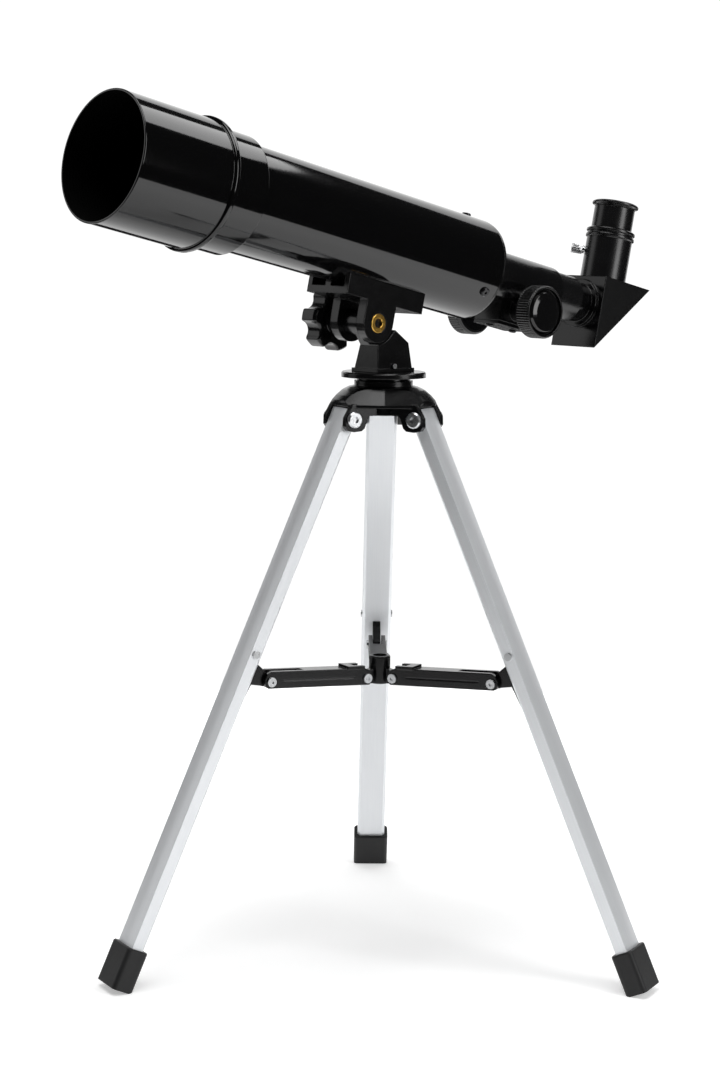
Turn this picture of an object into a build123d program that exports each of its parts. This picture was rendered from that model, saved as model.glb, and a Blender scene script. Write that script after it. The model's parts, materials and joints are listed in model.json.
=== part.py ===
from build123d import *
import os
from math import atan2, cos, degrees, hypot, pi, radians, sin, sqrt

# Table-top refractor telescope on a folding aluminium tripod. Millimetres, +Z up.
# The origin is on the floor under the tripod's centre, and +X is the way the telescope points.

# ---- Tripod -------------------------------------------------------------------------
FIRST_LEG_AZIMUTH = -11.5           # degrees from +X to the front leg
PIVOT_R, PIVOT_Z = 27.4, 319.0      # leg pivot: distance from the tripod's axis, and height
LEG_ANGLE = 24.65                   # a standing leg's angle from the vertical
LEG_WIDTH, LEG_DEPTH = 18.0, 9.0    # the leg tube's outer section
LEG_WALL, LEG_CHAMFER = 1.2, 1.6
LEG_TOP = 5.0                       # the tube's length above its pivot
FOOT_WALL, FOOT_LENGTH, FOOT_BOTTOM = 2.2, 24.4, 4.4
PIVOT_BOLT_R = 2.4
PIVOT_HEAD_R, PIVOT_HEAD_H, PIVOT_SOCKET = 4.7, 2.2, 3.4

HEAD_RIM_R, HEAD_RIM_Z = 31.7, 329.2
HEAD_BOTTOM_Z, HEAD_CEILING_Z = 325.6, 326.2
NECK_R, NECK_Z, NECK_TOP_Z = 17.2, 337.4, 340.2
CHEEK_GAP, CHEEK_WALL = 18.6, 3.6   # a clevis: the space between its cheeks, and a cheek
CORE_R, CORE_LOW, NUT_ROOM_R = 13.2, 320.4, 8.0         # the boss below the dome
FACET_TURN = 9.0                    # degrees by which each half of a facet turns from its middle

# ---- Spreader -----------------------------------------------------------------------
ARM_PIN_R, ARM_PIN_Z = 11.5, 164.8      # inner pin, in the hub's lug
LEG_PIN_R, LEG_PIN_Z = 76.0, 168.7      # outer pin, in the leg's bracket
ARM_BELOW, ARM_ABOVE = 3.9, 6.1         # the arm's edges, from the line through its pins
ARM_WIDTH, ARM_WALL = 10.4, 2.4
FORK_LENGTH, INNER_FORK = 22.0, 8.5     # stretches of the arm that are open on top
LUG_WIDTH = ARM_WIDTH - 2 * ARM_WALL - 0.8
HUB_R, HUB_BORE_R, HUB_LOW, HUB_HIGH = 6.3, 4.2, 160.6, 177.0
SPREADER_PIN_R = 1.6
TAIL_LENGTH = 31.0
RIVET_R, RIVET_HEAD_R, RIVET_HEAD_H = 1.2, 2.3, 0.9     # the bracket's rivet
PIN_HEAD_R, PIN_HEAD_H, PIN_HOLLOW_R = 2.8, 1.1, 1.1    # the arm's hollow rivets
TAB_NEAR, TAB_FAR, TAB_RISE = 2.5, 14.0, 1.5            # the stop tab on the arm

# ---- Turning post -------------------------------------------------------------------
FLANGE_R, FLANGE_LOW, FLANGE_TOP = 24.8, 342.2, 345.4
JOURNAL_R, JOURNAL_LOW, RUNNING_GAP = 12.0, 333.0, 0.05
AZIMUTH_BOLT_R, AZIMUTH_RING_R = 3.0, 15.6
BOLT_X, BOLT_Z = 14.0, 374.0            # altitude bolt, along Y
POST_REAR, POST_FRONT, POST_SIDE = -13.4, 14.3, 10.2
POST_SHOULDER_Z, POST_STEP = 362.4, 0.9
LUG_R, LUG_NEAR, LUG_FAR = 7.5, 3.2, -12.2
EAR_HALF, EAR_WALL = 11.5, 6.5          # an ear of the saddle: half its width, and its thickness
FAR_EAR_Y = -12.4 - EAR_WALL            # the far ear's outer face
BOLT_R, BOLT_HOLE_R, BOLT_END_Y = 3.0, 3.1, 8.6
KNOB_NEAR_Y, KNOB_FAR_Y, LOBES = -25.4, -38.2, 6        # altitude knob
LOBE_R, SCALLOP_R, SCALLOP_AT, KNOB_NECK_R = 17.8, 6.2, 19.8, 8.4
TILT = 12.4                             # the telescope's rise at rest, in degrees
TILT_UP = 34.0                          # how much further it can rise
CLAMP_X, CLAMP_Z, CLAMP_R = 1.6, 349.0, 1.0             # the small screw low on the post

# ---- Telescope, along its own axis --------------------------------------------------
# The telescope's own frame has its origin on the altitude bolt and +X towards the lens.
AXIS_Y, AXIS_Z = -7.2, 48.8             # where the optical axis lies in that frame
TUBE_R, TUBE_WALL = 30.4, 1.4
TUBE_REAR, TUBE_FRONT = -80.8, 127.0
CELL_R, CELL_REAR, CELL_FRONT = 33.6, 109.8, 150.0
SHIELD_R, SHIELD_REAR, SHIELD_FRONT, SHIELD_BEAD_R = 36.0, 133.0, 196.5, 37.6
SHIELD_WALL = 1.5
LENS_R, LENS_X = 26.0, 133.0
BAFFLE_X, BAFFLE_R = 20.0, 20.0
SADDLE_REAR, SADDLE_FRONT, SADDLE_HALF, SADDLE_LOW = -32.6, 27.9, 17.3, -37.1
SADDLE_SCREWS, SADDLE_SCREW_R = (-15.6, 14.4), 1.6
INSERT_R, INSERT_HOLE_R = 5.6, 2.7
BARREL_R, BARREL_REAR = 16.0, -150.8
DRAW_R, DRAW_BORE_R, DRAW_FRONT, DRAW_REAR = 14.5, 12.35, -70.0, -171.3
PINION_X, PINION_Z, TEETH, MODULE, RACK_HALF = -117.8, -18.0, 16, 0.5, 2.6
HOUSING_HALF, HOUSING_LOW, HOUSING_REACH = 10.5, -26.5, 14.0    # pinion housing
BOSS_HALF, BOSS_R, PINION_ROOM = 17.0, 6.4, 5.2
COVER_WALL, COVER_SCREWS, COVER_SCREW_R = 2.2, (-10.2, 10.2), 1.2
SHAFT_R = 2.5
KNOB_R, KNOB_INNER, KNOB_OUTER = 16.0, 22.5, 36.0
TUBE_SCREW_X, TUBE_SCREW_ANGLES, TUBE_SCREW_R = -71.5, (90, -30, 210), 1.5

# ---- Star diagonal and eyepiece -----------------------------------------------------
DIAGONAL_FRONT, DIAGONAL_LENGTH, DIAGONAL_WIDTH = -184.7, 43.4, 36.8
DIAGONAL_TOP, DIAGONAL_LOW, DIAGONAL_WALL = 18.0, -27.8, 2.2
NOSE_R, NOSE_LENGTH, NOSE_BORE_R = DRAW_BORE_R - RUNNING_GAP, 19.0, 11.0
COLLAR_R = 15.4
HOLDER_X, HOLDER_R, HOLDER_TOP = -202.3, 14.6, 51.0
EYEPIECE_R, EYECUP_R, EYEPIECE_TOP = 13.0, 14.9, 68.6
THUMBSCREW_TURN, THUMBSCREW_Z = 45.0, 36.0


# ---- Helpers ------------------------------------------------------------------------
def turned_x(points):
    """A solid of revolution about X: points are (x, radius)."""
    return revolve(Plane.XY * make_face(Polyline(*points, close=True)), axis=Axis.X)


def turned_z(points):
    """A solid of revolution about Z: points are (z, radius)."""
    face = make_face(Polyline(*[(r, 0, z) for z, r in points], close=True))
    return revolve(face, axis=Axis.Z)


def rod(radius, length):
    """A cylinder that stands on z = 0."""
    return Cylinder(radius, length, align=(Align.CENTER, Align.CENTER, Align.MIN))


def rod_x(x0, x1, radius, y=0.0, z=0.0):
    return Location((x0, y, z), (0, 90, 0)) * rod(radius, x1 - x0)


def rod_y(y0, y1, radius, x=0.0, z=0.0):
    return Location((x, y0, z), (-90, 0, 0)) * rod(radius, y1 - y0)


def rod_z(z0, z1, radius, x=0.0, y=0.0):
    return Location((x, y, z0)) * rod(radius, z1 - z0)


def block(x0, x1, y0, y1, z0, z1):
    return Location(((x0 + x1) / 2, (y0 + y1) / 2, (z0 + z1) / 2)) * Box(x1 - x0, y1 - y0, z1 - z0)


def slab_y(points, y0, y1):
    """An outline in X and Z, extruded along Y from y0 to y1."""
    face = make_face(Polyline(*[(x, 0, z) for x, z in points], close=True))
    return Location((0, y0, 0)) * extrude(face, amount=y1 - y0, dir=(0, 1, 0))


def around(part, azimuth):
    return Rotation(0, 0, azimuth) * part


def leg_azimuth(k):
    return FIRST_LEG_AZIMUTH + 120 * k


def in_leg_frame(part):
    """From a leg's own frame (pivot at the origin, leg down -Z, +X outwards) to its radial plane."""
    return Location((PIVOT_R, 0, PIVOT_Z), (0, -LEG_ANGLE, 0)) * part


def in_tube_frame(part):
    """From the optical axis's frame to the part's frame."""
    return Location((BOLT_X, 0, BOLT_Z), (0, -TILT, 0)) * Location((0, AXIS_Y, AXIS_Z)) * part


def hex_prism(across_flats, height):
    return extrude(RegularPolygon(across_flats / 2, 6, major_radius=False), amount=height)


def cap_screw(head_r, head_h, socket, shank_r, shank_l):
    """A button-head socket screw: its seat is at z = 0, and its shank points down."""
    head = rod_z(0, head_h, head_r)
    head = chamfer(head.edges().group_by(Axis.Z)[-1], head_h * 0.35)
    shank = rod_z(-shank_l, 0.2, shank_r)
    return head + shank - Location((0, 0, head_h * 0.4)) * hex_prism(socket, head_h)


# ---- Tripod head --------------------------------------------------------------------
def head_dome():
    profile = [(HEAD_BOTTOM_Z, 0), (HEAD_BOTTOM_Z, HEAD_RIM_R - 0.6), (HEAD_RIM_Z - 0.8, HEAD_RIM_R),
               (HEAD_RIM_Z + 0.4, HEAD_RIM_R - 0.5), (332.2, 28.6), (335.0, 24.4), (336.6, 20.4),
               (NECK_Z, NECK_R), (NECK_TOP_Z, NECK_R), (NECK_TOP_Z, 0)]
    return turned_z(profile)


def head_facet():
    """The wedge that the dome loses between two legs: two sloping flats that meet in a low ridge."""
    low = HEAD_BOTTOM_Z - 1
    outline = [(26.4, low), (26.4, 327.2), (19.4, 337.8), (50, 337.8), (50, low)]
    wedge = slab_y(outline, -22, 22)
    return around(wedge, FACET_TURN) + around(wedge, -FACET_TURN)


def head_cheeks():
    """The pair of cheeks that hold one leg."""
    outline = [(12.0, 320.8), (16.8, 320.8), (18.4, 318.8), (20.2, 313.8), (22.2, 312.2), (27.4, 311.8),
               (31.2, 312.6), (33.0, 315.2), (32.8, 320.0), (29.4, 325.6), (28.2, 327.6), (12.0, 327.6)]
    half = CHEEK_GAP / 2
    return slab_y(outline, half, half + CHEEK_WALL) + slab_y(outline, -half - CHEEK_WALL, -half)


def make_tripod_head():
    head = head_dome()
    for k in range(3):
        head -= around(head_facet(), leg_azimuth(k) + 60)
    head += [around(head_cheeks(), leg_azimuth(k)) for k in range(3)]
    head += rod_z(CORE_LOW, HEAD_BOTTOM_Z + 0.5, CORE_R) - rod_z(300, HEAD_BOTTOM_Z, NUT_ROOM_R)
    half = CHEEK_GAP / 2
    for k in range(3):
        head -= around(block(13.5, 40, -half, half, 300, HEAD_CEILING_Z), leg_azimuth(k))
        head -= around(rod_y(-30, 30, PIVOT_BOLT_R, PIVOT_R, PIVOT_Z), leg_azimuth(k))
    head -= rod_z(JOURNAL_LOW - 0.6, NECK_TOP_Z + 1, JOURNAL_R)
    head -= rod_z(300, NECK_TOP_Z, 3.3)
    return head


def make_pivot_bolt():
    """A leg's pivot: a shank along Y with a domed socket head on each cheek."""
    face = CHEEK_GAP / 2 + CHEEK_WALL
    bolt = rod_y(-face, face, PIVOT_BOLT_R - RUNNING_GAP, PIVOT_R, PIVOT_Z)
    head = cap_screw(PIVOT_HEAD_R, PIVOT_HEAD_H, PIVOT_SOCKET, PIVOT_BOLT_R - RUNNING_GAP, 1.0)
    bolt += Location((PIVOT_R, face, PIVOT_Z), (-90, 0, 0)) * head
    bolt += Location((PIVOT_R, -face, PIVOT_Z), (90, 0, 0)) * head
    return bolt


# ---- Legs ---------------------------------------------------------------------------
def leg_length():
    """From the pivot to the end of the aluminium tube, inside the rubber foot."""
    return (PIVOT_Z - 5.6) / cos(radians(LEG_ANGLE))


def leg_section(inset=0.0):
    """Flat on the inner side, a little convex on the outer side; x is across the depth."""
    x, y, c = LEG_DEPTH / 2 - inset, LEG_WIDTH / 2 - inset, LEG_CHAMFER - inset * 0.4
    line = Polyline((x - 0.9, y), (c - x, y), (-x, y - c), (-x, c - y), (c - x, -y), (x - 0.9, -y))
    crown = ThreePointArc(line @ 1, (x, 0), line @ 0)
    return make_face([line, crown])


def make_leg():
    run = leg_length() + LEG_TOP
    tube = extrude(leg_section(), amount=run) - extrude(leg_section(LEG_WALL), amount=run)
    tube = Location((0, 0, -leg_length())) * tube
    tube -= rod_y(-20, 20, PIVOT_BOLT_R) + rod_y(-20, 20, RIVET_R, 0, bracket_rivet_z())
    return in_leg_frame(tube)


def make_foot():
    """A cap on the leg's end, cut flat where it stands on the floor."""
    plan = RectangleRounded(LEG_DEPTH + 2 * FOOT_WALL, LEG_WIDTH + 2 * FOOT_WALL, 2.6)
    outer = Location((0, 0, -leg_length() - FOOT_BOTTOM)) * extrude(plan, amount=FOOT_LENGTH)
    outer = chamfer(outer.edges().group_by(Axis.Z)[-1], 0.6)
    socket = Location((0, 0, -leg_length())) * extrude(offset(leg_section(), 0.05), amount=60)
    foot = in_leg_frame(outer - socket)
    return foot - block(-400, 400, -100, 100, -60, 0)


# ---- Spreader -----------------------------------------------------------------------
def pin_in_leg_frame():
    """The outer pin's place in a leg's own frame."""
    dx, dz = LEG_PIN_R - PIVOT_R, LEG_PIN_Z - PIVOT_Z
    c, s = cos(radians(LEG_ANGLE)), sin(radians(LEG_ANGLE))
    return dx * c + dz * s, dz * c - dx * s


def make_leg_bracket():
    """A thin lug on the leg's inner face that carries the outer pin, with a long tail."""
    px, pz = pin_in_leg_frame()
    face = -LEG_DEPTH / 2
    outline = [(face, pz + 8.0), (face - 3.0, pz + 6.4), (px + 1.4, pz + 3.4), (px - 1.6, pz + 3.2),
               (px - 3.4, pz + 1.2), (px - 3.4, pz - 1.2), (px - 1.6, pz - 3.2), (px + 1.4, pz - 3.5),
               (face - 3.6, pz - 5.8), (face - 1.8, pz - TAIL_LENGTH), (face, pz - TAIL_LENGTH)]
    lug = slab_y(outline, -LUG_WIDTH / 2, LUG_WIDTH / 2)
    return in_leg_frame(lug - rod_y(-20, 20, SPREADER_PIN_R, px, pz))


def bracket_rivet_z():
    return pin_in_leg_frame()[1] + 11.0


def make_bracket_rivet():
    """The rivet through the leg's sides that holds the bracket's foot."""
    pz = bracket_rivet_z()
    side = LEG_WIDTH / 2
    rivet = rod_y(-side, side, RIVET_R, 0, pz)
    rivet += rod_y(side, side + RIVET_HEAD_H, RIVET_HEAD_R, 0, pz)
    rivet += rod_y(-side - RIVET_HEAD_H, -side, RIVET_HEAD_R, 0, pz)
    return in_leg_frame(rivet)


def make_spreader_hub():
    hub = rod_z(HUB_LOW, HUB_HIGH, HUB_R)
    hub = chamfer(hub.edges().group_by(Axis.Z)[-1], 0.5)
    lug = slab_y([(3.0, HUB_LOW), (ARM_PIN_R + 0.6, HUB_LOW + 0.4), (ARM_PIN_R + 3.2, ARM_PIN_Z - 2.0),
                  (ARM_PIN_R + 3.2, ARM_PIN_Z + 2.0), (ARM_PIN_R, ARM_PIN_Z + 3.4), (3.0, ARM_PIN_Z + 5.0)],
                 -LUG_WIDTH / 2, LUG_WIDTH / 2)
    lug -= rod_y(-20, 20, SPREADER_PIN_R, ARM_PIN_R, ARM_PIN_Z)
    for k in range(3):
        hub += around(lug, leg_azimuth(k))
    return hub - rod_z(HUB_LOW + 3.0, HUB_HIGH + 1, HUB_BORE_R)


def arm_length():
    return hypot(LEG_PIN_R - ARM_PIN_R, LEG_PIN_Z - ARM_PIN_Z)


def in_arm_frame(part):
    """From an arm's own frame (inner pin at the origin, outer pin on +X) to its radial plane."""
    rise = degrees(atan2(LEG_PIN_Z - ARM_PIN_Z, LEG_PIN_R - ARM_PIN_R))
    return Location((ARM_PIN_R, 0, ARM_PIN_Z), (0, -rise, 0)) * part


def make_spreader_arm():
    """A channel that is open below, with an open fork at each end and a stop tab on top."""
    length, low, top, side = arm_length(), -ARM_BELOW, ARM_ABOVE, ARM_WIDTH / 2
    end = length + 4.2
    outline = [(-3.9, -1.6), (-1.6, low), (end - 2.6, low), (end - 0.8, low + 1.0), (end, -0.8), (end, 1.6),
               (end - 1.4, 4.6), (end - 4.4, top), (2.0, top), (-2.6, top - 1.8), (-3.9, 2.4)]
    arm = slab_y(outline, -side, side)
    inner = side - ARM_WALL
    arm -= block(-10, end + 5, -inner, inner, -10, top - 1.6)
    arm -= block(length - FORK_LENGTH, end + 5, -inner, inner, -10, 20)
    arm -= block(-10, INNER_FORK, -inner, inner, -10, 20)
    arm += block(length * 0.3, length * 0.34, -inner, inner, low + 1.5, top - 1.6)
    for y in (side, -side):
        arm -= block(9, length - 8, y - 0.35, y + 0.35, 0.3, 1.0)
    tab_side, tab_low, tab_top = side + 0.6, top - 0.5, top + TAB_RISE
    arm += block(TAB_NEAR, TAB_FAR, inner, tab_side, tab_low, tab_top)
    arm += block(TAB_NEAR, TAB_FAR, -tab_side, -inner, tab_low, tab_top)
    arm += block(INNER_FORK, TAB_FAR, -tab_side, tab_side, tab_low, tab_top)
    arm -= rod_y(-20, 20, SPREADER_PIN_R, 0, 0) + rod_y(-20, 20, SPREADER_PIN_R, length, 0)
    return in_arm_frame(arm)


def rivet_end(x, reach):
    """One end of a hollow rivet on the arm's +Y side: its shank starts at y = reach."""
    side, hollow = ARM_WIDTH / 2, ARM_WIDTH / 2 + 0.4
    end = rod_y(reach, side, SPREADER_PIN_R - RUNNING_GAP, x)
    end += rod_y(side, side + PIN_HEAD_H, PIN_HEAD_R, x)
    return end - rod_y(hollow, hollow + PIN_HEAD_H, PIN_HOLLOW_R, x)


def make_arm_rivets():
    """The inner rivet, right through, and the outer rivet's two heads, each in its own cheek."""
    through = rivet_end(0, 0) + around(rivet_end(0, 0), 180)
    x, inner = arm_length(), ARM_WIDTH / 2 - ARM_WALL
    stubs = [rivet_end(x, inner), around(rivet_end(-x, inner), 180)]
    return in_arm_frame(Compound(children=[through] + stubs))


# ---- Turning post -------------------------------------------------------------------
def make_azimuth_flange():
    flange = rod_z(FLANGE_LOW, FLANGE_TOP, FLANGE_R)
    flange = chamfer(flange.edges().group_by(Axis.Z)[-1], 0.8)
    flange += rod_z(JOURNAL_LOW, FLANGE_LOW, JOURNAL_R - RUNNING_GAP)
    return flange - rod_z(300, 400, AZIMUTH_BOLT_R + RUNNING_GAP)


def make_azimuth_ring():
    """The friction ring between the flange and the head's neck."""
    return rod_z(NECK_TOP_Z + 0.1, FLANGE_LOW, AZIMUTH_RING_R) - rod_z(300, 400, JOURNAL_R + RUNNING_GAP)


def make_azimuth_bolt():
    """Up through the head into the post, with a nut and a washer below."""
    nut_low, nut_top = CORE_LOW + 0.8, HEAD_BOTTOM_Z - 0.8
    bolt = rod_z(CORE_LOW + 0.2, FLANGE_TOP + 6.0, AZIMUTH_BOLT_R)
    bolt += Location((0, 0, nut_low)) * hex_prism(9.6, nut_top - nut_low)
    return bolt + rod_z(nut_top, HEAD_BOTTOM_Z - 0.1, 6.6)


def ear_outline(grow=0.0, top=12.0):
    """A saddle ear in the telescope's own frame: straight sides and a round end below the bolt."""
    half = EAR_HALF + grow
    steps = [radians(180 + 180 * i / 16) for i in range(17)]
    return [(half * cos(a), half * sin(a)) for a in steps] + [(half, top), (-half, top)]


def level_rectangle(x0, x1, y0, y1, z):
    return Plane((0, 0, z)) * Location(((x0 + x1) / 2, (y0 + y1) / 2)) * Rectangle(x1 - x0, y1 - y0)


def make_azimuth_post():
    """A block that narrows upwards, with the lug for the altitude bolt and room for the near ear."""
    top_rear, top_far = -9.8, -4.6
    foot = level_rectangle(POST_REAR, POST_FRONT, -POST_SIDE, POST_SIDE, FLANGE_TOP)
    top = level_rectangle(top_rear, POST_FRONT, top_far, POST_SIDE, POST_SHOULDER_Z)
    post = loft([foot, top])
    web = [(top_rear, POST_SHOULDER_Z - 0.2), (2.6, 371.1), (8.2, 378.6), (19.6, 369.0), (POST_FRONT, 361.0)]
    post += slab_y(web, top_far, POST_SIDE)
    post += rod_y(LUG_FAR, LUG_NEAR, LUG_R, BOLT_X, BOLT_Z)
    clear = slab_y(ear_outline(0.7, 30), LUG_NEAR, POST_SIDE + 5)
    for tilt in (-20, 0, 20, TILT + TILT_UP):
        post -= Location((BOLT_X, 0, BOLT_Z), (0, -tilt, 0)) * clear
    step = POST_STEP
    post += block(POST_REAR - step, POST_FRONT + step, -POST_SIDE - step, POST_SIDE + 0.6,
                  FLANGE_TOP, FLANGE_TOP + 2.2)
    post -= rod_y(-30, 30, BOLT_HOLE_R, BOLT_X, BOLT_Z)
    post -= rod_z(FLANGE_TOP - 1, FLANGE_TOP + 6.4, AZIMUTH_BOLT_R)
    post -= rod_y(POST_SIDE - 5, POST_SIDE + 5, CLAMP_R, CLAMP_X, CLAMP_Z)
    return post


def make_post_screw():
    """The small clamp screw low on the post's near side."""
    seat = POST_SIDE + 0.6
    screw = rod_y(POST_SIDE - 5, seat, CLAMP_R, CLAMP_X, CLAMP_Z)
    return screw + rod_y(seat, seat + 0.7, CLAMP_R + 0.5, CLAMP_X, CLAMP_Z)


# ---- Altitude bolt and knob ---------------------------------------------------------
def at_bolt(part):
    return Location((BOLT_X, 0, BOLT_Z), (0, -TILT, 0)) * part


def make_altitude_knob():
    """A six-lobed hand knob with a short neck."""
    knob = rod_y(KNOB_FAR_Y, KNOB_NEAR_Y, LOBE_R)
    for i in range(LOBES):
        a = radians(360 * (i + 0.5) / LOBES)
        knob -= rod_y(KNOB_FAR_Y - 1, KNOB_NEAR_Y + 1, SCALLOP_R, SCALLOP_AT * cos(a), SCALLOP_AT * sin(a))
    knob = fillet(knob.edges().filter_by(Axis.Y), 1.6)
    knob += rod_y(KNOB_NEAR_Y - 1, FAR_EAR_Y - 1.7, KNOB_NECK_R)
    knob -= rod_y(KNOB_FAR_Y - 1, KNOB_FAR_Y + 1.2, KNOB_NECK_R + 0.1)
    knob -= rod_y(KNOB_FAR_Y + 3, 0, BOLT_R)
    return at_bolt(knob)


def make_altitude_bolt():
    return at_bolt(rod_y(KNOB_FAR_Y + 3, BOLT_END_Y, BOLT_R))


def make_altitude_washer():
    return at_bolt(rod_y(FAR_EAR_Y - 1.6, FAR_EAR_Y - 0.1, 8.0) - rod_y(-60, 60, BOLT_R))


# ---- Saddle -------------------------------------------------------------------------
def make_saddle():
    """A channel under the tube with a middle rib, and two ears that straddle the post's lug."""
    y0, y1 = AXIS_Y - SADDLE_HALF, AXIS_Y + SADDLE_HALF
    low, bottom, pocket, rib, wall = AXIS_Z + SADDLE_LOW, 4.2, 11.0, 2.4, 3.6
    body = block(SADDLE_REAR, SADDLE_FRONT, y0, y1, low, AXIS_Z)
    for a, b in ((y0 + wall, AXIS_Y - rib), (AXIS_Y + rib, y1 - wall)):
        body -= block(SADDLE_FRONT - pocket, SADDLE_FRONT + 1, a, b, low + bottom, AXIS_Z)
        body -= block(SADDLE_REAR - 1, SADDLE_REAR + pocket, a, b, low + bottom, AXIS_Z)
    for x in SADDLE_SCREWS:
        body -= rod_z(low - 1, AXIS_Z, SADDLE_SCREW_R + RUNNING_GAP, x, AXIS_Y)
    body -= rod_x(SADDLE_REAR - 5, SADDLE_FRONT + 5, TUBE_R + 0.05, AXIS_Y, AXIS_Z)
    outline = ear_outline(0, low + 1)
    body += slab_y(outline, y1 - EAR_WALL - 0.1, y1)
    body += slab_y(outline, FAR_EAR_Y, FAR_EAR_Y + EAR_WALL)
    body -= rod_y(FAR_EAR_Y - 1, 0, BOLT_HOLE_R)
    body -= rod_y(0, y1 + 1, INSERT_R)
    return at_bolt(body)


def make_brass_insert():
    y1 = AXIS_Y + SADDLE_HALF
    insert = rod_y(y1 - EAR_WALL, y1 + 0.3, INSERT_R) - rod_y(0, BOLT_END_Y + 0.1, BOLT_R)
    return at_bolt(insert - rod_y(0, y1 + 2, INSERT_HOLE_R))


def make_saddle_screws():
    """Two screws up through the saddle's bottom into the tube."""
    low = AXIS_Z + SADDLE_LOW
    screws = [rod_z(low, low + 7.9, SADDLE_SCREW_R, x, AXIS_Y) + rod_z(low - 1.2, low, 3.2, x, AXIS_Y)
              for x in SADDLE_SCREWS]
    return at_bolt(Compound(children=screws))


# ---- Tube and objective, all in the optical axis's frame ----------------------------
def at_tube_screw(part, angle):
    """From a screw's own frame (seat at z = 0, shank down) to its place round the tube."""
    seat = TUBE_R + 0.1
    y, z = seat * cos(radians(angle)), seat * sin(radians(angle))
    return Location((TUBE_SCREW_X, y, z), (angle - 90, 0, 0)) * part


def make_main_tube():
    tube = rod_x(TUBE_REAR, TUBE_FRONT, TUBE_R) - rod_x(TUBE_REAR - 1, TUBE_FRONT + 1, TUBE_R - TUBE_WALL)
    for angle in TUBE_SCREW_ANGLES:
        tube -= at_tube_screw(Cylinder(TUBE_SCREW_R, 10), angle)
    for x in SADDLE_SCREWS:
        tube -= rod_z(-TUBE_R - 1, -TUBE_R + 3, SADDLE_SCREW_R + RUNNING_GAP, x)
    return in_tube_frame(tube)


def make_lens_cell():
    """The ring that holds the lens: it slips over the tube's front, and the dew shield over it."""
    bore = TUBE_R + RUNNING_GAP
    return in_tube_frame(turned_x([
        (CELL_REAR, bore), (CELL_REAR, CELL_R - 0.7), (CELL_REAR + 0.7, CELL_R), (CELL_FRONT - 1, CELL_R),
        (CELL_FRONT, CELL_R - 1), (CELL_FRONT, 31.0), (144.5, LENS_R + 0.7), (LENS_X - 3.5, LENS_R + 0.7),
        (LENS_X - 3.5, 25.2), (TUBE_FRONT + 0.1, 25.2), (TUBE_FRONT + 0.1, bore)]))


def sphere_x(vertex, curve, height):
    """Where a sphere through a vertex on X reaches a height; curve is its radius, with a sign."""
    return vertex - curve + sqrt(curve * curve - height * height) * (1 if curve > 0 else -1)


def lens(x_front, x_rear, radius, front_curve, rear_curve):
    """A lens between two vertices on X; a curve is a sphere's radius, negative where it is hollow."""
    half = radius / 2
    front_mid, front_rim = sphere_x(x_front, front_curve, half), sphere_x(x_front, front_curve, radius)
    rear_mid = 2 * x_rear - sphere_x(x_rear, rear_curve, half)
    rear_rim = 2 * x_rear - sphere_x(x_rear, rear_curve, radius)
    outline = [Line((x_rear, 0), (x_front, 0)),
               ThreePointArc((x_front, 0), (front_mid, half), (front_rim, radius)),
               Line((front_rim, radius), (rear_rim, radius)),
               ThreePointArc((rear_rim, radius), (rear_mid, half), (x_rear, 0))]
    return revolve(make_face(outline), axis=Axis.X)


def make_objective_crown():
    return in_tube_frame(lens(LENS_X + 8.2, LENS_X + 2.6, LENS_R, 150, 160))


def make_objective_flint():
    return in_tube_frame(lens(LENS_X + 2.4, LENS_X - 0.2, LENS_R, -165, 400))


def make_lens_retainer():
    ring = rod_x(LENS_X + 6.2, LENS_X + 9.6, LENS_R + 0.65) - rod_x(0, 200, 25.0)
    return in_tube_frame(ring)


def make_dew_shield():
    """A loose sleeve over the lens cell, with a bead round its rear end."""
    fit, wall = CELL_R + RUNNING_GAP, SHIELD_WALL
    return in_tube_frame(turned_x([
        (SHIELD_REAR, fit), (SHIELD_REAR, SHIELD_BEAD_R - 0.9), (SHIELD_REAR + 0.9, SHIELD_BEAD_R),
        (SHIELD_REAR + 3.0, SHIELD_BEAD_R), (SHIELD_REAR + 3.6, SHIELD_R), (SHIELD_FRONT - 0.5, SHIELD_R),
        (SHIELD_FRONT, SHIELD_R - 0.5), (SHIELD_FRONT, SHIELD_R - wall), (CELL_FRONT + 3, SHIELD_R - wall),
        (CELL_FRONT + 1.5, fit)]))


def make_tube_baffle():
    ring = rod_x(BAFFLE_X, BAFFLE_X + 2, TUBE_R - TUBE_WALL - RUNNING_GAP)
    return in_tube_frame(ring - rod_x(0, 50, BAFFLE_R))


def make_tube_screws():
    screw = cap_screw(2.9, 1.5, 1.6, TUBE_SCREW_R - RUNNING_GAP, 3.4)
    return in_tube_frame(Compound(children=[at_tube_screw(screw, angle) for angle in TUBE_SCREW_ANGLES]))


# ---- Focuser ------------------------------------------------------------------------
def draw_bore():
    """The running bore for the draw tube, and the groove for its rack."""
    front = -60
    groove = block(BARREL_REAR - 5, front, -RACK_HALF - 0.5, RACK_HALF + 0.5, -DRAW_R - 0.5, -10)
    return rod_x(BARREL_REAR - 5, front, DRAW_R + RUNNING_GAP) + groove


def pinion_room():
    """What the toothed part and its shaft need, in the barrel and in the housing."""
    teeth = rod_y(-RACK_HALF * 2, RACK_HALF * 2, PINION_ROOM, PINION_X, PINION_Z)
    return teeth + rod_y(-30, 30, SHAFT_R + 0.1, PINION_X, PINION_Z)


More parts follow.
